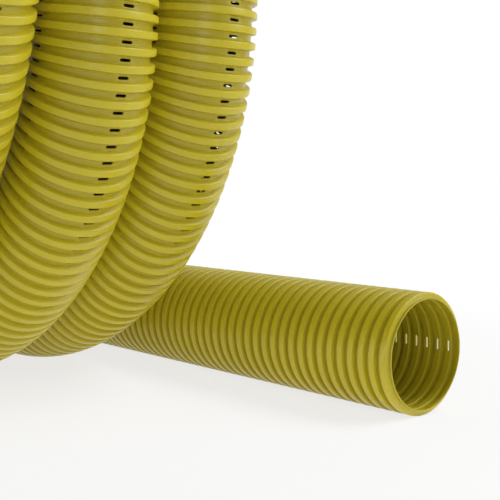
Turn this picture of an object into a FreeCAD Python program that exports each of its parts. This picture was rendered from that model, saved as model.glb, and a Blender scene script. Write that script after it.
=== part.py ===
"""Flexible corrugated drain pipe, lying as a loose coil of three turns on its rim.

The pipe is one blow-moulded length with ring-shaped waves and four rows of water slots.
The free end runs straight out along +X on the floor and shows its open mouth. The far
end lies on the floor too, straight along -X. The coil's axis is parallel to Y.
The origin is on the floor, under the middle of the whole pipe's bounding box.

The waves go all along the pipe. Near the mouth the wall follows them inside as well. The
rest of the free end and the far end have a plain bore, and the coil is solid inside.

Lengths are in millimetres and angles in degrees.
"""
import FreeCAD, Part
import math
import os

from FreeCAD import Placement, Rotation, Vector

# Pipe section
OUTER_D = 80.0
BORE_D = 71.5
WALL = 0.75
WAVE_PITCH = 8.8
CREST_TOP = 4.2
FLANK_RUN = 0.75

# What the cut at the mouth leaves of the valley before the first wave
MOUTH_LIP = 1.6

# Water slots: one at each row, in the valleys nearest the mouth
SLOT_ROWS = 4
SLOT_VALLEYS = 3
SLOT_LENGTH = 7.6
SLOT_WIDTH = 1.4
SLOT_ROW_TURN = 2.0

# Length as sold, and the free end, measured from where the coil's first bend starts
PIPE_LENGTH = 5000.0
FREE_END = 350.4
MOUTH_WAVES = 8

# Each turn's lower half is a bend of this radius, to the pipe's centreline
FIRST_R = 221.7
MIDDLE_R = 212.9
LAST_R = 264.8

# Where the turns' centres lie, from the free end's first bend
MIDDLE_FORWARD = 12.7
LAST_BACK = 28.0
FIRST_STEP = 89.7
NEXT_STEP = 84.1

CREST_R = OUTER_D / 2
BORE_R = BORE_D / 2
FOOT_R = BORE_R + WALL
WAVE_FOOT = CREST_TOP / 2 + FLANK_RUN
FIRST_WAVE = FREE_END - MOUTH_LIP - WAVE_FOOT
FREE_END_WAVES = int(FIRST_WAVE / WAVE_PITCH)

X_AXIS = Vector(1, 0, 0)
Y_AXIS = Vector(0, 1, 0)
Z_AXIS = Vector(0, 0, 1)
UP_TO_CREST = Vector(0, 0, CREST_R)


def rim(centre, along, radius):
    """Round outline square to a direction, with its seam on the +Y side."""
    ring = Part.Wire(Part.Circle(Vector(), Z_AXIS, radius).toShape())
    ring.Placement = Placement(centre, Rotation(Y_AXIS, Vector(), along, "ZXY"))
    return ring


def wave_rings(length):
    """Places and radii of the rings along a run, between which the surface is straight.

    A run starts and ends in the middle of a crest. It has the number of whole waves that
    comes nearest to the usual pitch, and none where not even one fits.
    """
    count = min(round(length / WAVE_PITCH), int(length / (2 * WAVE_FOOT)))
    rings = [(0, CREST_R)]
    for wave in range(count):
        start, end = (length * number / count for number in (wave, wave + 1))
        rings += [(start + CREST_TOP / 2, CREST_R), (start + WAVE_FOOT, FOOT_R)]
        rings += [(end - WAVE_FOOT, FOOT_R), (end - CREST_TOP / 2, CREST_R)]
    return rings + [(length, CREST_R)]


def straight_run(start, end):
    """Straight length between two points: its rings and its length."""
    length = (end - start).Length
    along = (end - start) / length
    return [rim(start + along * place, along, radius) for place, radius in wave_rings(length)], length


def bend(start, along, centre, angle):
    """Bend about a centre, from a point and in a direction: its rings and its length."""
    arm = start - centre
    length = arm.Length * math.radians(angle)
    rings = []
    for place, radius in wave_rings(length):
        turn = Rotation(arm.cross(along), angle * place / length)
        rings.append(rim(centre + turn.multVec(arm), turn.multVec(along), radius))
    return rings, length


def crossing(back, front):
    """Upper half turn, slanting over from one turn's back to the next turn's front.

    The lower of the two joins is first brought up straight to the level of the other.
    """
    top = max(back.z, front.z)
    high_back = Vector(back.x, back.y, top)
    high_front = Vector(front.x, front.y, top)
    runs = [bend(high_back, Z_AXIS, (high_back + high_front) * 0.5, 180)]
    if high_back.z > back.z:
        runs.insert(0, straight_run(back, high_back))
    if high_front.z > front.z:
        runs.append(straight_run(high_front, front))
    return runs


def coil_runs():
    """All runs past the free end in their order, up to where the far end starts."""
    centres = [
        Vector(0, -FIRST_STEP, FIRST_R),
        Vector(MIDDLE_FORWARD, -FIRST_STEP - NEXT_STEP, MIDDLE_R),
        Vector(-LAST_BACK, -FIRST_STEP - 2 * NEXT_STEP, LAST_R),
    ]
    first = Vector(0, 0, FIRST_R) + UP_TO_CREST
    runs = [bend(UP_TO_CREST, -X_AXIS, first, 90)]
    back = first - X_AXIS * FIRST_R
    for centre, radius, angle in zip(centres, (FIRST_R, MIDDLE_R, LAST_R), (180, 180, 90)):
        centre = centre + UP_TO_CREST
        front = centre + X_AXIS * radius
        runs += crossing(back, front)
        runs.append(bend(front, -Z_AXIS, centre, angle))
        back = centre - X_AXIS * radius
    return runs, centre - Z_AXIS * LAST_R


def wave_section():
    """Half section of the free end's wall, from the mouth back, above its axis.

    A crest is a flat top with a straight flank each side. The wall keeps its thickness
    under the waves nearest the mouth, and behind them the bore is plain.
    """
    drop = CREST_R - FOOT_R
    lean = math.hypot(FLANK_RUN, drop) - FLANK_RUN
    inset = WALL * lean / drop
    outside = [(FREE_END, FOOT_R)]
    inside = [(FREE_END, BORE_R)]
    for wave in range(FREE_END_WAVES):
        middle = FIRST_WAVE - wave * WAVE_PITCH
        for side in (1, -1):
            top = middle + side * CREST_TOP / 2
            foot = middle + side * WAVE_FOOT
            corners = [(foot, FOOT_R), (top, CREST_R)]
            inner = [(foot - side * inset, BORE_R), (top - side * inset, CREST_R - WALL)]
            outside += corners if side > 0 else corners[::-1]
            if wave < MOUTH_WAVES:
                inside += inner if side > 0 else inner[::-1]
    outside += [(WAVE_FOOT, FOOT_R), (CREST_TOP / 2, CREST_R), (0, CREST_R)]
    inside.append((0, BORE_R))
    points = [Vector(x, 0, z) for x, z in outside + inside[::-1]]
    return Part.Face(Part.makePolygon(points + points[:1]))


def slot():
    """Cutter for one slot: a long hole with round ends through the wall, at the top."""
    reach = CREST_R - BORE_R + WALL
    half = (SLOT_LENGTH - SLOT_WIDTH) / 2
    bar = Part.makeBox(SLOT_WIDTH, 2 * half, reach, Vector(-SLOT_WIDTH / 2, -half, 0))
    ends = [Part.makeCylinder(SLOT_WIDTH / 2, reach, Vector(0, y, 0)) for y in (-half, half)]
    cutter = bar.fuse(ends)
    cutter.translate(Vector(0, 0, BORE_R - WALL))
    return cutter


def slots():
    """The slots of the valleys nearest the mouth, evenly round the pipe."""
    cutters = []
    for valley in range(SLOT_VALLEYS):
        middle = FIRST_WAVE - (valley + 0.5) * WAVE_PITCH
        for row in range(SLOT_ROWS):
            angle = SLOT_ROW_TURN + row * 360 / SLOT_ROWS
            place = Placement(UP_TO_CREST + X_AXIS * middle, Rotation(X_AXIS, angle))
            cutter = slot()
            cutter.Placement = place.multiply(cutter.Placement)
            cutters.append(cutter)
    return cutters


def free_end():
    """The free end with its waves and slots, from the first bend to the mouth."""
    wall = wave_section().revolve(Vector(0, 0, 0), X_AXIS, 360)
    wall.translate(UP_TO_CREST)
    return wall.cut(slots())


def far_end(start, length):
    """The far end, from the last bend back to its cut: its rings and its plain bore."""
    last_crest = length - MOUTH_LIP - WAVE_FOOT
    places = wave_rings(last_crest)[:-1]
    places += [(last_crest + CREST_TOP / 2, CREST_R), (last_crest + WAVE_FOOT, FOOT_R), (length, FOOT_R)]
    rings = [rim(start - X_AXIS * place, -X_AXIS, radius) for place, radius in places]
    return rings, Part.Face(rim(start, X_AXIS, BORE_R)).extrude(-X_AXIS * length)


def drain_pipe():
    """The whole pipe as one solid, standing on the floor.

    Its runs are joined one after the other, each to the end of the one before it.
    """
    runs, far_start = coil_runs()
    used = FREE_END + sum(length for _, length in runs)
    far_rings, far_bore = far_end(far_start, PIPE_LENGTH - used)
    pipe = free_end()
    for rings, _ in runs:
        pipe = pipe.fuse(Part.makeLoft(rings, True, True))
    far_tube = Part.makeLoft(far_rings, True, True).cut(far_bore)
    pipe = pipe.fuse(far_tube).Solids[0]
    box = pipe.optimalBoundingBox(False)
    pipe.translate(Vector(-box.Center.x, -box.Center.y, -box.ZMin))
    return pipe


os.makedirs("parts", exist_ok=True)
drain_pipe().exportStep("parts/drain_pipe.step")
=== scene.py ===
"""Looks of a coil of flexible corrugated drain pipe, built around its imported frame.

The pipe is one moulded length. It is drawn here as a thin wall with ring-shaped waves and
four rows of slots, carried along its real path in nine lengths that meet in the middle of
a crest. Every length is a numpy surface: rings along the pipe, columns round it.

Lengths are in millimetres until a mesh is made, and in metres after that.
"""
import math

import bpy
import numpy as np
from mathutils import Matrix, Vector


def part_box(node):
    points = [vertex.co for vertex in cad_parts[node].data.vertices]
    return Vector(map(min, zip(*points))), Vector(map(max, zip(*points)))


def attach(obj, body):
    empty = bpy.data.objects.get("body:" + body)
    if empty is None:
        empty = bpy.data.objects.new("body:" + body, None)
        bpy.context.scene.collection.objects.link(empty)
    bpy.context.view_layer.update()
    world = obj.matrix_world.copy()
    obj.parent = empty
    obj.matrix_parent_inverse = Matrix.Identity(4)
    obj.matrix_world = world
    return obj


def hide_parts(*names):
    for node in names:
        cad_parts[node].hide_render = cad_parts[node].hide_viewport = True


MM = 0.001
NODE = "drain_pipe"

# Pipe section
CREST_R = 40.0
BORE_R = 35.75
WALL = 0.75
FOOT_R = BORE_R + WALL
LENGTH = 5000.0
WAVE_FOOT = 2.85
PITCH = 8.82
CREST_CROWN = 0.06

# What the cut at each end leaves of the valley before the first wave
LIP = 1.6
FIRST_WAVE = LIP + WAVE_FOOT

# Spacing of the waves along the free end, and in each turn that shows, where it comes with
# how far the turn's first slot lies past its front. Hidden lengths take up the difference.
FREE_END_PITCH = 8.78
TURN_WAVES = {"turn_1": (8.89, 1.3), "turn_2": (8.73, 6.6), "turn_3": (8.93, 3.3)}

# How far the waves of a turn lean out of square, in radians, at places past its front: first
# of their outward side going ahead along the pipe, then of their +Y side
LEAN_PLACES = (-80.0, 20.0, 85.0, 160.0, 400.0)
LEAN_OUTWARD = (0.0, 0.08, 0.16, 0.20, 0.0)
LEAN_ACROSS = (0.0, -0.04, -0.04, -0.01, 0.0)

# Where a flank leaves the crest and reaches the valley, from the middle of the crest
FLANK_OUTSIDE = (1.85, 3.1)
FLANK_INSIDE = (1.25, 2.5)

# Water slots. A slot's tips keep a share of its width, so that its wall doesn't close up
ROWS = 4
ROW_TURN = math.radians(2.2)
SLOT_LENGTH = 7.6
SLOT_WIDTH = 1.4
SLOT_TIP = 0.35
SLOT_EDGE = PITCH / 2 - SLOT_WIDTH / 2
SLOT_STATIONS = np.array([-1.0, -0.92, -0.7, 0.7, 0.92, 1.0])
COLUMNS_BETWEEN = 9

# How far each crest keeps its shape in a bend, where 0 bends freely and 1 is rigid
CREST_STIFFNESS = 0.5

# Path of the centreline
FREE_END = 350.4
FIRST_R = 221.7
MIDDLE_R = 212.9
LAST_R = 264.8
MIDDLE_FORWARD = 12.7
LAST_BACK = 28.0
FIRST_STEP = 89.7
NEXT_STEP = 84.1

# Ring places in half a wave, from the middle of the crest to the edge of the slots
FINE_OUTSIDE = (1.4, 1.85, 2.15, 2.45, 2.75, 3.1, SLOT_EDGE)
FINE_INSIDE = (0.9, 1.25, 1.6, 1.9, 2.2, 2.5, SLOT_EDGE)
USUAL_OUTSIDE = (1.6, 2.1, 2.5, 2.95, SLOT_EDGE)
USUAL_INSIDE = (1.35, 1.9, 2.5, SLOT_EDGE)
PLAIN_OUTSIDE = (1.75, 2.3, 2.9, SLOT_EDGE)
PLAIN_INSIDE = (1.2, SLOT_EDGE)

# Ring places outside and inside of the lengths that don't have the plain ones
DETAIL = {
    "free_end": (FINE_OUTSIDE, FINE_INSIDE),
    "turn_1": (USUAL_OUTSIDE, PLAIN_INSIDE),
    "turn_2": (USUAL_OUTSIDE, PLAIN_INSIDE),
    "turn_3": (USUAL_OUTSIDE, PLAIN_INSIDE),
    "far_end": (USUAL_OUTSIDE, USUAL_INSIDE),
}

# Plastic: the tints that it clouds between, the valleys' tint, which is painted shade, and the
# least and most roughness. A scale is that of its noise, and the peel's strength and height shape
# its bumps.
CLOUD_SCALE = 22.0
CLOUD_STOPS = (0.3, 0.7)
CLOUD_TINTS = ((0.555, 0.463, 0.016), (0.595, 0.497, 0.020))
VALLEY_PAINTED_SHADE = (0.485, 0.40, 0.014)
STREAK_SCALE = 160.0
ROUGHNESS = (0.27, 0.37)
PEEL_SCALE = 900.0
PEEL_STRENGTH = 0.12
PEEL_HEIGHT = 0.0003
PLASTIC_IOR = 1.46

# Studio, in metres and watts. The floor shows a share of its shadow, which fades out from
# the near distance to the far one.
FLOOR_REACH = 6.0
SHADOW_SHARE = 0.25
SHADOW_NEAR = 0.35
SHADOW_FAR = 0.75
BACKDROP_R = 4.0
BACKDROP_HEIGHT = 1.2
BACKDROP_ARC = (85.0, 185.0)
BACKDROP_EDGES = 33
PAPER = (0.95, 0.95, 0.95, 1.0)
WHITE = (1.0, 1.0, 1.0, 1.0)
WORLD_LEVEL = 0.31

# Lamps: place, the point that it is turned to, size and power
LAMPS = {
    "right_lamp": ((1.2, 1.0, 0.9), (0.1, 0.0, 0.2), (0.9, 0.9), 7.6),
    "right_high_lamp": ((0.7, 1.2, 1.8), (0.1, 0.0, 0.1), (1.0, 1.0), 18.0),
    "mouth_lamp": ((1.7, -0.6, 0.35), (0.35, 0.1, 0.05), (0.5, 0.4), 2.7),
    "left_low_lamp": ((-0.7, -1.6, 0.3), (0.0, 0.0, 0.15), (0.9, 0.5), 5.6),
}
TABLE_GLOW = ((0.08, -0.02, 0.002), (0.08, -0.02, 1.0), (0.7, 0.5), 0.28)

# Camera at the photograph's place: metres, radians, and lens and sensor in millimetres
CAMERA_PLACE = (0.7091, -0.3548, 0.1387)
CAMERA_YAW = -0.8223
CAMERA_PITCH = 0.0584
CAMERA_ROLL = -0.0233
CAMERA_LENS = 66.69
CAMERA_SENSOR = 36.0
CAMERA_NEAR = 0.01


def unit(vectors):
    """Vectors of length one."""
    return vectors / np.linalg.norm(vectors, axis=-1, keepdims=True)


def straight(start, end, outward):
    """Straight run: a point is the start plus the distance times the direction."""
    length = float(np.linalg.norm(end - start))
    along = (end - start) / length

    def place(distance):
        points = start + distance[:, None] * along
        same = np.ones_like(points)
        return points, along * same, outward * same, np.zeros_like(distance)

    return length, place


def bend(start, along, centre, degrees):
    """Round bend: a point is the centre plus r (cos t arm + sin t direction).

    The outward side is the arm laid into the coil's upright plane and squared to the
    tangent, so that it doesn't jump where a slanting bend meets an upright one.
    """
    arm = start - centre
    radius = float(np.linalg.norm(arm))
    arm = arm / radius

    def place(distance):
        turn = (distance / radius)[:, None]
        spoke = np.cos(turn) * arm + np.sin(turn) * along
        tangents = np.cos(turn) * along - np.sin(turn) * arm
        upright = spoke * np.array([1.0, 0.0, 1.0])
        leaning = (upright * tangents).sum(axis=1, keepdims=True)
        outward = unit(upright - leaning * tangents)
        return centre + radius * spoke, tangents, outward, np.full_like(distance, 1 / radius)

    return radius * math.radians(degrees), place


def crossing(back, front):
    """Upper half turn that slants over to the next turn, with the lower join brought up."""
    up = np.array([0.0, 0.0, 1.0])
    back_side = np.array([-1.0, 0.0, 0.0])
    top = max(back[2], front[2])
    high_back = np.array([back[0], back[1], top])
    high_front = np.array([front[0], front[1], top])
    runs = [bend(high_back, up, (high_back + high_front) / 2, 180)]
    if top > back[2]:
        runs.insert(0, straight(back, high_back, back_side))
    if top > front[2]:
        runs.append(straight(high_front, front, -back_side))
    return runs


def pipe_path(corner):
    """All runs from the open mouth to the far end, each with the name of its length.

    The corner is the frame's highest corner, which gives the mouth's place.
    """
    mouth = np.array([corner[0], corner[1] - CREST_R, CREST_R])
    ahead = np.array([1.0, 0.0, 0.0])
    up = np.array([0.0, 0.0, 1.0])
    first = mouth - ahead * FREE_END
    turns = [
        ("turn_1", np.array([0.0, -FIRST_STEP, FIRST_R]), FIRST_R, 180),
        ("turn_2", np.array([MIDDLE_FORWARD, -FIRST_STEP - NEXT_STEP, MIDDLE_R]), MIDDLE_R, 180),
        ("turn_3", np.array([-LAST_BACK, -FIRST_STEP - 2 * NEXT_STEP, LAST_R]), LAST_R, 90),
    ]
    hub = first + up * FIRST_R
    runs = [
        ("free_end", straight(mouth, first, -up)),
        ("first_rise", bend(first, -ahead, hub, 90)),
    ]
    back = hub - ahead * FIRST_R
    for number, (name, offset, radius, degrees) in enumerate(turns, 1):
        centre = first + offset
        front = centre + ahead * radius
        runs += [(f"crossing_{number}", run) for run in crossing(back, front)]
        runs.append((name, bend(front, -up, centre, degrees)))
        back = centre - ahead * radius
    used = sum(length for _, (length, _) in runs)
    bottom = centre - up * radius
    runs.append(("far_end", straight(bottom, bottom - ahead * (LENGTH - used), -up)))
    return runs


def follow(runs, distance):
    """Points, tangents, outward sides and curvatures at distances from the mouth."""
    ends = np.cumsum([length for _, (length, _) in runs])
    owner = np.minimum(np.searchsorted(ends, distance), len(runs) - 1)
    results = [np.zeros((len(distance), 3)) for _ in range(3)] + [np.zeros(len(distance))]
    for number, (_, (length, place)) in enumerate(runs):
        chosen = owner == number
        found = place(distance[chosen] - (ends[number] - length))
        for result, values in zip(results, found):
            result[chosen] = values
    return results


def ease(values):
    """Smooth step from 0 to 1."""
    values = np.clip(values, 0, 1)
    return values * values * (3 - 2 * values)


def outer_wall(offset):
    """Outer radius at an offset from a crest's middle: crest, S-shaped flank, flat valley."""
    near, far = FLANK_OUTSIDE
    rise = ease((far - np.abs(offset)) / (far - near))
    crown = CREST_CROWN * np.minimum(np.abs(offset) / near, 1) ** 2
    return FOOT_R + (CREST_R - FOOT_R - crown) * rise


def inner_wall(offset):
    """Inner radius at an offset from a crest's middle, one wall inside the outer one."""
    near, far = FLANK_INSIDE
    rise = ease((far - np.abs(offset)) / (far - near))
    return BORE_R + (CREST_R - WALL - BORE_R) * rise


def slot_half_width(station):
    """Half the width of a slot at a station along it, where -1 and 1 are its round ends."""
    round_end = SLOT_WIDTH / 2
    past = np.maximum(np.abs(station) * SLOT_LENGTH / 2 - (SLOT_LENGTH / 2 - round_end), 0)
    return np.maximum(np.sqrt(np.maximum(round_end**2 - past**2, 0)), round_end * SLOT_TIP)


def columns():
    """Angles round the pipe, the half width that the slot strip has at each, and the slots.

    Each row has its slot's own columns and a few evenly spaced ones up to the next row. An
    angle is measured from the outward side towards +Y. The last array says which cells,
    each between a column and the next, are open in the slot strip.
    """
    half_turn = SLOT_LENGTH / 2 / FOOT_R
    row_step = 2 * math.pi / ROWS
    gap = np.linspace(half_turn, row_step - half_turn, COLUMNS_BETWEEN + 2)[1:-1]
    one_row = np.concatenate([SLOT_STATIONS * half_turn, gap])
    angles = (ROW_TURN + row_step * np.arange(ROWS)[:, None] + one_row).ravel()
    widths = np.full(len(one_row), SLOT_WIDTH / 2)
    widths[: len(SLOT_STATIONS)] = slot_half_width(SLOT_STATIONS)
    is_open = np.arange(len(one_row)) < len(SLOT_STATIONS) - 1
    return angles, np.tile(widths, ROWS), np.tile(is_open, ROWS)


def wave_places(runs):
    """Distances from the mouth, and the wave number reached at each, for interpolation.

    A slot lies half a wave past a crest, so each turn's first slot has the half number
    nearest to what the usual pitch gives.
    """
    places = [FIRST_WAVE]
    waves = [0.0]
    reached = 0.0
    for name, (length, _) in runs:
        start = reached
        reached += length
        if name == "free_end":
            places.append(reached)
            waves.append((reached - FIRST_WAVE) / FREE_END_PITCH)
        elif name in TURN_WAVES:
            pitch, first_slot = TURN_WAVES[name]
            due = waves[-1] + (start + first_slot - places[-1]) / PITCH
            slot = math.floor(due) + 0.5
            places += [start, reached]
            waves += [slot - first_slot / pitch, slot + (length - first_slot) / pitch]
    last_place = LENGTH - FIRST_WAVE
    waves.append(round(waves[-1] + (last_place - places[-1]) / PITCH))
    places.append(last_place)
    return np.array(places), np.array(waves)


def ring_places(first_wave, last_wave, half_wave, at_mouth, at_far_end):
    """Wave numbers and offsets of a length's rings, from the middle of its first crest.

    At an open end of the pipe the rings start or stop at the cut instead.
    """
    half_wave = np.array(half_wave)
    offsets = np.concatenate([-half_wave[::-1], half_wave])
    waves = np.repeat(np.arange(first_wave, last_wave + 1), len(offsets))
    offsets = np.tile(offsets, last_wave - first_wave + 1)
    low = -FIRST_WAVE if at_mouth else 0.0
    high = FIRST_WAVE if at_far_end else 0.0
    kept = ((waves > first_wave) | (offsets > low)) & ((waves < last_wave) | (offsets < high))
    waves = np.concatenate([[first_wave], waves[kept], [last_wave]])
    return waves, np.concatenate([[low], offsets[kept], [high]])


def along_pipe(wave, places, wave_numbers):
    """Distance from the mouth at a wave number, also a little past both ends."""
    inside = np.interp(wave, wave_numbers, places)
    past = wave - np.clip(wave, wave_numbers[0], wave_numbers[-1])
    return inside + past * PITCH


def wave_lean(runs, distance):
    """How far the waves lean at distances from the mouth: outward sides and +Y sides."""
    outward = np.zeros_like(distance)
    across = np.zeros_like(distance)
    start = 0.0
    for name, (length, _) in runs:
        if name in TURN_WAVES:
            outward += np.interp(distance - start, LEAN_PLACES, LEAN_OUTWARD)
            across += np.interp(distance - start, LEAN_PLACES, LEAN_ACROSS)
        start += length
    return outward, across


def skin(path, waves, offsets, wall, side):
    """One side of the wall: points, outward normals and depths on a grid of rings and columns.

    A ring stands at its wave's middle plus its offset. In a bend, part of the offset near
    the crest is laid straight along the wave's own direction, which keeps crests stiff and
    leaves the stretch to the valleys. A leaning wave shifts each point along the tangent by
    its radius times the lean there, less that of the first row's slots, which stay put. The
    normal is the spoke less the wall's slope along the pipe, turned with the lean. Depth is 0
    on a crest and 1 in a valley. Side is 1 for the outer skin and -1 for the inner one.
    """
    runs, places, wave_numbers = path
    angles, strip, _ = columns()
    at_slot = np.isclose(np.abs(offsets), SLOT_EDGE)[:, None]
    reach = np.where(at_slot, np.sign(offsets)[:, None] * (PITCH / 2 - strip), offsets[:, None])
    distance = along_pipe(waves[:, None] + reach / PITCH, places, wave_numbers)
    valley = ease((np.abs(reach) - WAVE_FOOT) / (PITCH / 2 - WAVE_FOOT))
    stiff = CREST_STIFFNESS * (1 - valley)
    shift = reach * stiff
    points, tangents, outward, curve = follow(runs, (distance - shift).ravel())
    shape = reach.shape + (3,)
    points, tangents, outward = (v.reshape(shape) for v in (points, tangents, outward))
    curve = curve.reshape(reach.shape)
    across = np.cross(outward, tangents)
    spokes = np.cos(angles)[:, None] * outward + np.sin(angles)[:, None] * across
    radius = wall(reach)
    small = 1e-4
    slope = (wall(reach + small) - wall(reach - small)) / (2 * small)
    stretch = 1 + (1 - stiff) * curve * radius * np.cos(angles)
    outward_lean, across_lean = wave_lean(runs, distance)
    lean = outward_lean * np.cos(angles) + across_lean * np.sin(angles)
    held = FOOT_R * (outward_lean * math.cos(ROW_TURN) + across_lean * math.sin(ROW_TURN))
    turning = across_lean * np.cos(angles) - outward_lean * np.sin(angles)
    ahead = shift + lean * radius - held
    points = points + tangents * ahead[..., None] + spokes * radius[..., None]
    round_pipe = np.cos(angles)[:, None] * across - np.sin(angles)[:, None] * outward
    normals = spokes * (stretch + slope * lean)[..., None] - tangents * slope[..., None]
    normals = unit(normals + round_pipe * (slope * turning)[..., None])
    crest, valley_floor = wall(np.array([0.0, PITCH / 2]))
    depth = (crest - radius) / (crest - valley_floor)
    return points, side * normals, depth, at_slot[:, 0]


def grid_faces(rings, count, start, inward, open_cells):
    """Corner numbers of the quads between rings, wrapped round, without the open cells."""
    ring, column = np.meshgrid(np.arange(rings - 1), np.arange(count), indexing="ij")
    following = (column + 1) % count
    corners = [ring * count + column, ring * count + following]
    corners += [(ring + 1) * count + following, (ring + 1) * count + column]
    faces = start + np.stack(corners, axis=-1)[~open_cells]
    return faces if inward else faces[:, ::-1]


def joining_walls(edges_outside, edges_inside):
    """Quads from edges of the outer skin to the same edges of the inner skin."""
    first, second = edges_outside
    below, beside = edges_inside
    return np.stack([first, second, beside, below], axis=-1).reshape(-1, 4)


def slot_walls(outside, inside, is_open):
    """Quads lining every slot, from the outer skin's strip edges to the inner skin's."""
    count = len(is_open)
    cells = np.flatnonzero(is_open)
    tips = np.flatnonzero(is_open & ~np.roll(is_open, 1))
    ends = np.flatnonzero(~is_open & np.roll(is_open, 1))
    walls = []
    for shift, near, far in ((0, cells + 1, cells), (1, cells, cells + 1)):
        rows = [(strip + shift)[:, None] * count for strip in (outside[1], inside[1])]
        pairs = [(s + r + near, s + r + far) for s, r in zip((outside[0], inside[0]), rows)]
        walls.append(joining_walls(*pairs))
    for column, flip in ((tips, 0), (ends, 1)):
        pairs = []
        for start, strip in (outside, inside):
            low = start + strip[:, None] * count + column
            high = low + count
            pairs.append((high, low) if flip else (low, high))
        walls.append(joining_walls(*pairs))
    return np.concatenate(walls)


def end_wall(outer_ring, inner_ring, count, flip):
    """Ring of quads that closes the wall at the end of a length."""
    column = np.arange(count)
    following = (column + 1) % count
    pairs = [(ring + column, ring + following) for ring in (outer_ring, inner_ring)]
    walls = joining_walls(*pairs)
    return walls[:, ::-1] if flip else walls


def face_normals(points, faces):
    """Normals of quads from their diagonals."""
    a, b, c, d = (points[faces[:, i]] for i in range(4))
    return unit(np.cross(c - a, d - b))


def make_mesh(name, points, faces, skin_faces, corner_normals, depth):
    """Mesh object in metres from quads, with its own normals and the depth of each point.

    The faces past the skins' own are walls, and all their edges are sharp.
    """
    mesh = bpy.data.meshes.new(name)
    mesh.vertices.add(len(points))
    mesh.vertices.foreach_set("co", (points * MM).astype(np.float32).ravel())
    mesh.loops.add(faces.size)
    mesh.loops.foreach_set("vertex_index", faces.astype(np.int32).ravel())
    mesh.polygons.add(len(faces))
    mesh.polygons.foreach_set("loop_start", np.arange(0, faces.size, 4, dtype=np.int32))
    mesh.polygons.foreach_set("use_smooth", np.ones(len(faces), dtype=bool))
    attribute = mesh.attributes.new("depth", "FLOAT", "POINT")
    attribute.data.foreach_set("value", depth.astype(np.float32))
    mesh.update(calc_edges=True)
    corner_edges = np.empty(faces.size, dtype=np.int32)
    mesh.loops.foreach_get("edge_index", corner_edges)
    sharp = np.zeros(len(mesh.edges), dtype=bool)
    sharp[corner_edges[4 * skin_faces:]] = True
    mesh.edges.foreach_set("use_edge_sharp", sharp)
    mesh.normals_split_custom_set(corner_normals)
    piece = bpy.data.objects.new(name, mesh)
    bpy.context.scene.collection.objects.link(piece)
    return piece


def pipe_length(path, first_wave, last_wave, outside, inside):
    """One length of the pipe, closed all round: two skins, slot walls and end walls."""
    ends = first_wave == 0, last_wave == path[2][-1]
    _, _, is_open = columns()
    count = len(is_open)
    grids = []
    start = 0
    faces = []
    for half_wave, wall, side in ((outside, outer_wall, 1), (inside, inner_wall, -1)):
        waves, offsets = ring_places(first_wave, last_wave, half_wave, *ends)
        points, normals, depth, at_slot = skin(path, waves, offsets, wall, side)
        strip = np.flatnonzero(at_slot[:-1] & at_slot[1:])
        open_cells = np.zeros((len(waves) - 1, count), dtype=bool)
        open_cells[strip] = is_open
        faces.append(grid_faces(len(waves), count, start, side < 0, open_cells))
        grids.append((start, strip, points.reshape(-1, 3), normals.reshape(-1, 3), depth.ravel()))
        start += len(waves) * count
    (_, strip_out, *_), (middle, strip_in, *_) = grids
    points, normals, depth = (np.concatenate([grids[0][i], grids[1][i]]) for i in (2, 3, 4))
    walls = [
        slot_walls((0, strip_out), (middle, strip_in), is_open),
        end_wall(0, middle, count, True),
        end_wall(middle - count, start - count, count, False),
    ]
    skins = np.concatenate(faces)
    walls = np.concatenate(walls)
    corner_normals = np.concatenate([
        normals[skins.ravel()],
        np.repeat(face_normals(points, walls), 4, axis=0),
    ])
    return points, np.concatenate([skins, walls]), len(skins), corner_normals, depth


def lengths_of_pipe(path):
    """Name, first wave and last wave of each length: they meet at the nearest crest."""
    runs, places, wave_numbers = path
    ends = {}
    reached = 0.0
    for name, (length, _) in runs:
        reached += length
        ends[name] = round(np.interp(reached, places, wave_numbers))
    first = 0
    for name, last in ends.items():
        yield name, first, last
        first = last


def node_tree(name):
    """New material and a function that adds a node with its settings and inputs."""
    material = bpy.data.materials.new(name)
    material.use_nodes = True
    tree = material.node_tree
    tree.nodes.clear()

    def add(kind, inputs=None, **settings):
        node = tree.nodes.new(kind)
        for key, value in settings.items():
            setattr(node, key, value)
        for key, value in (inputs or {}).items():
            if isinstance(value, bpy.types.NodeSocket):
                tree.links.new(value, node.inputs[key])
            else:
                node.inputs[key].default_value = value
        return node

    return material, add


def ramp(node, stops):
    """Sets the stops of a colour ramp, each a place and a colour."""
    elements = node.color_ramp.elements
    while len(elements) < len(stops):
        elements.new(0.5)
    for element, (place, colour) in zip(elements, stops):
        element.position = place
        element.color = (*colour, 1.0)


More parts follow.
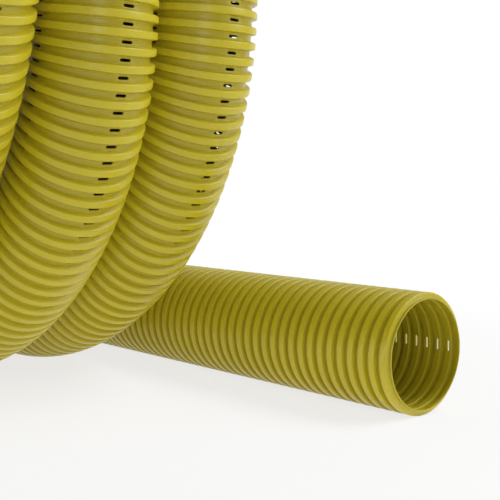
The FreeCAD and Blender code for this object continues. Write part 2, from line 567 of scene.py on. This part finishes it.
def drain_pipe_plastic():
    """Satin mustard plastic: slight clouding, painted shade in the valleys, uneven gloss and
    fine orange peel.
    """
    material, add = node_tree("mustard_drain_pipe_plastic")
    place = add("ShaderNodeTexCoord").outputs["Object"]
    clouds = add("ShaderNodeTexNoise", {"Vector": place, "Scale": CLOUD_SCALE, "Detail": 4.0})
    tint = add("ShaderNodeValToRGB", {"Fac": clouds.outputs["Fac"]})
    ramp(tint, list(zip(CLOUD_STOPS, CLOUD_TINTS)))
    # Painted shade: the colour darkens towards the valley tint with depth, from crest to valley
    # floor
    depth = add("ShaderNodeAttribute", attribute_name="depth")
    colour = add("ShaderNodeMix", {
        "Factor": depth.outputs["Fac"],
        "A": tint.outputs["Color"],
        "B": (*VALLEY_PAINTED_SHADE, 1.0),
    }, data_type="RGBA")
    streaks = add("ShaderNodeTexNoise", {"Vector": place, "Scale": STREAK_SCALE, "Detail": 3.0})
    rough = add("ShaderNodeMapRange", {
        "Value": streaks.outputs["Fac"],
        "To Min": ROUGHNESS[0],
        "To Max": ROUGHNESS[1],
    })
    peel = add("ShaderNodeTexNoise", {"Vector": place, "Scale": PEEL_SCALE, "Detail": 2.0})
    bump = add("ShaderNodeBump", {
        "Height": peel.outputs["Fac"],
        "Strength": PEEL_STRENGTH,
        "Distance": PEEL_HEIGHT,
    })
    surface = add("ShaderNodeBsdfPrincipled", {
        "Base Color": colour.outputs["Result"],
        "Roughness": rough.outputs["Result"],
        "Normal": bump.outputs["Normal"],
        "IOR": PLASTIC_IOR,
    })
    add("ShaderNodeOutputMaterial", {"Surface": surface.outputs["BSDF"]})
    return material


def white_finish(name, shadow_share):
    """Plain white stage: paper to the light, and white itself to the camera and in reflections.

    Near the object a share of the paper, with its shadows, still shows there. The share fades
    to nothing with the distance from the object.
    """
    material, add = node_tree(name)
    path = add("ShaderNodeLightPath")
    seen = path.outputs["Is Camera Ray"]
    for kind in ("Is Glossy Ray", "Is Transmission Ray"):
        both = {0: seen, 1: path.outputs[kind]}
        seen = add("ShaderNodeMath", both, operation="ADD", use_clamp=True).outputs[0]
    place = add("ShaderNodeTexCoord").outputs["Object"]
    away = add("ShaderNodeVectorMath", {0: place}, operation="LENGTH")
    kept = add("ShaderNodeMapRange", {
        "Value": away.outputs["Value"],
        "From Min": SHADOW_NEAR,
        "From Max": SHADOW_FAR,
        "To Min": 1.0 - shadow_share,
        "To Max": 1.0,
    }, interpolation_type="SMOOTHSTEP")
    share = add("ShaderNodeMath", {0: seen, 1: kept.outputs["Result"]}, operation="MULTIPLY")
    paper = add("ShaderNodeBsdfDiffuse", {"Color": PAPER})
    glow = add("ShaderNodeEmission", {"Color": WHITE, "Strength": 1.0})
    mixed = add("ShaderNodeMixShader", {
        0: share.outputs[0],
        1: paper.outputs[0],
        2: glow.outputs[0],
    })
    add("ShaderNodeOutputMaterial", {"Surface": mixed.outputs[0]})
    return material


def stage_piece(name, points, faces, material):
    """Piece of the stage, which isn't part of the object."""
    mesh = bpy.data.meshes.new(name)
    mesh.from_pydata(points, [], faces)
    mesh.materials.append(material)
    piece = bpy.data.objects.new(name, mesh)
    bpy.context.scene.collection.objects.link(piece)


def backdrop():
    """Upright wall behind the coil, part of a wide cylinder about the origin.

    A point is the radius along the direction at an angle, at the wall's foot or its top.
    """
    angles = np.radians(np.linspace(*BACKDROP_ARC, BACKDROP_EDGES))
    ring = BACKDROP_R * np.stack([np.cos(angles), np.sin(angles), 0 * angles], axis=1)
    points = np.concatenate([ring, ring + (0, 0, BACKDROP_HEIGHT)])
    low = np.arange(len(ring) - 1)
    high = low + len(ring)
    faces = np.stack([low + 1, low, high, high + 1], axis=1)
    stage_piece("backdrop", points.tolist(), faces.tolist(), white_finish("white_backdrop", 0.0))


def area_light(name, place, aim, size, power):
    """Soft lamp at a place, turned towards a point."""
    lamp = bpy.data.lights.new(name, "AREA")
    lamp.shape = "RECTANGLE"
    lamp.size, lamp.size_y = size
    lamp.energy = power
    holder = bpy.data.objects.new(name, lamp)
    holder.location = place
    holder.rotation_euler = (Vector(aim) - Vector(place)).to_track_quat("-Z", "Y").to_euler()
    bpy.context.scene.collection.objects.link(holder)
    return holder


def studio():
    """Floor, backdrop, plain pale world and soft lamps.

    The last lamp lies flat on the floor and fills the undersides, as a light table does.
    """
    reach = FLOOR_REACH
    corners = [(-reach, -reach, 0), (reach, -reach, 0), (reach, reach, 0), (-reach, reach, 0)]
    stage_piece("floor", corners, [(0, 1, 2, 3)], white_finish("white_floor", SHADOW_SHARE))
    backdrop()
    world = bpy.data.worlds.new("studio")
    bpy.context.scene.world = world
    world.use_nodes = True
    background = world.node_tree.nodes["Background"]
    background.inputs["Color"].default_value = WHITE
    background.inputs["Strength"].default_value = WORLD_LEVEL
    for name, lamp in LAMPS.items():
        area_light(name, *lamp)
    glow = area_light("table_glow", *TABLE_GLOW)
    glow.visible_camera = False
    glow.visible_glossy = False


def photo_camera():
    """Camera at the photograph's place, in the row frame: near the mouth, just above it."""
    yaw, pitch, roll = CAMERA_YAW, CAMERA_PITCH, CAMERA_ROLL
    flat = math.cos(pitch)
    ahead = Vector((math.sin(yaw) * flat, math.cos(yaw) * flat, -math.sin(pitch)))
    level = Vector((math.cos(yaw), -math.sin(yaw), 0.0))
    down = ahead.cross(level)
    right = level * math.cos(roll) + down * math.sin(roll)
    below = down * math.cos(roll) - level * math.sin(roll)
    camera = bpy.data.cameras.new("photo_camera")
    camera.sensor_width = CAMERA_SENSOR
    camera.lens = CAMERA_LENS
    camera.clip_start = CAMERA_NEAR
    holder = bpy.data.objects.new("photo_camera", camera)
    turned = Matrix((right, -below, -ahead)).transposed().to_4x4()
    holder.matrix_world = Matrix.Translation(CAMERA_PLACE) @ turned
    bpy.context.scene.collection.objects.link(holder)
    bpy.context.scene.camera = holder


def build_pipe(runs):
    """All lengths of the pipe, dressed and riding on the frame."""
    plastic = drain_pipe_plastic()
    path = (runs, *wave_places(runs))
    for name, first, last in lengths_of_pipe(path):
        outside, inside = DETAIL.get(name, (PLAIN_OUTSIDE, PLAIN_INSIDE))
        piece = make_mesh(name, *pipe_length(path, first, last, outside, inside))
        piece.data.materials.append(plastic)
        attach(piece, "root")
        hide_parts(NODE)


bpy.context.scene.view_settings.view_transform = "Standard"
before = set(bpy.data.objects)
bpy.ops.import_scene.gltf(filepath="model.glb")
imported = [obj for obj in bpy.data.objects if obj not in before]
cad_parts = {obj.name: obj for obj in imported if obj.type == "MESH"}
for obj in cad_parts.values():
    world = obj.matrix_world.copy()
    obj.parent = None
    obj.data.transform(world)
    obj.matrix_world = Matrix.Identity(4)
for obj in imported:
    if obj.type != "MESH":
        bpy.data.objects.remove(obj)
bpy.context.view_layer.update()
runs = pipe_path(np.array(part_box(NODE)[1]) / MM)
build_pipe(runs)
studio()
photo_camera()
